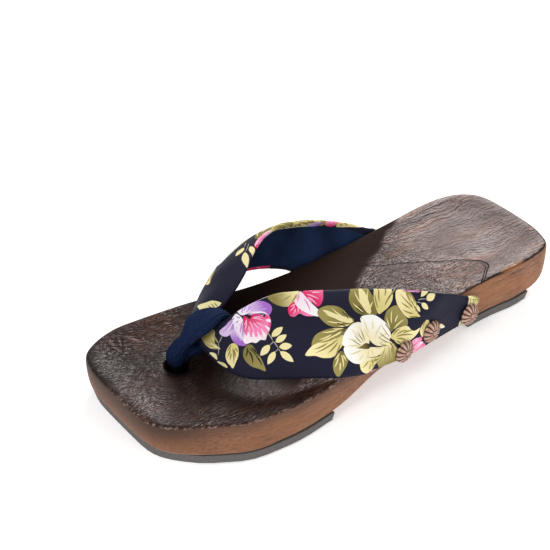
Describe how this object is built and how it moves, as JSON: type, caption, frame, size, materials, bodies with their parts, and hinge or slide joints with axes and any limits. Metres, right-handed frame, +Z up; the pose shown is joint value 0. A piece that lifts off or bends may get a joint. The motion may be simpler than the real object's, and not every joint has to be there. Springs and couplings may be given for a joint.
{
  "type": "geta sandal",
  "caption": "Left geta sandal: carved wooden base with rubber soles, and a padded floral cloth strap held by a toe loop and tacks.",
  "frame": {"origin": "middle of the bounding box in plan, on the floor under the rubber soles", "axes": "+Z up, -Y towards the toe, +Y towards the heel, +X towards the outer (little toe) side"},
  "size_m": [0.0994, 0.241, 0.051],
  "materials": {
    "scorched_wood": "scorched, brushed and oiled, satin",
    "dark_rubber": "matt",
    "navy_print_cloth": "printed cotton over padding",
    "navy_crepe": "crepe, matt",
    "aged_brass": "aged, satin"
  },
  "bodies": {
    "root": {"wood_base": "scorched_wood", "sole_front": "dark_rubber", "sole_heel": "dark_rubber", "strap": "navy_print_cloth", "toe_loop": "navy_crepe", "tack_outer_1": "aged_brass", "tack_outer_2": "aged_brass", "tack_outer_3": "aged_brass", "tack_inner_1": "aged_brass", "tack_inner_2": "aged_brass", "tack_inner_3": "aged_brass"}
  },
  "joints": []
}
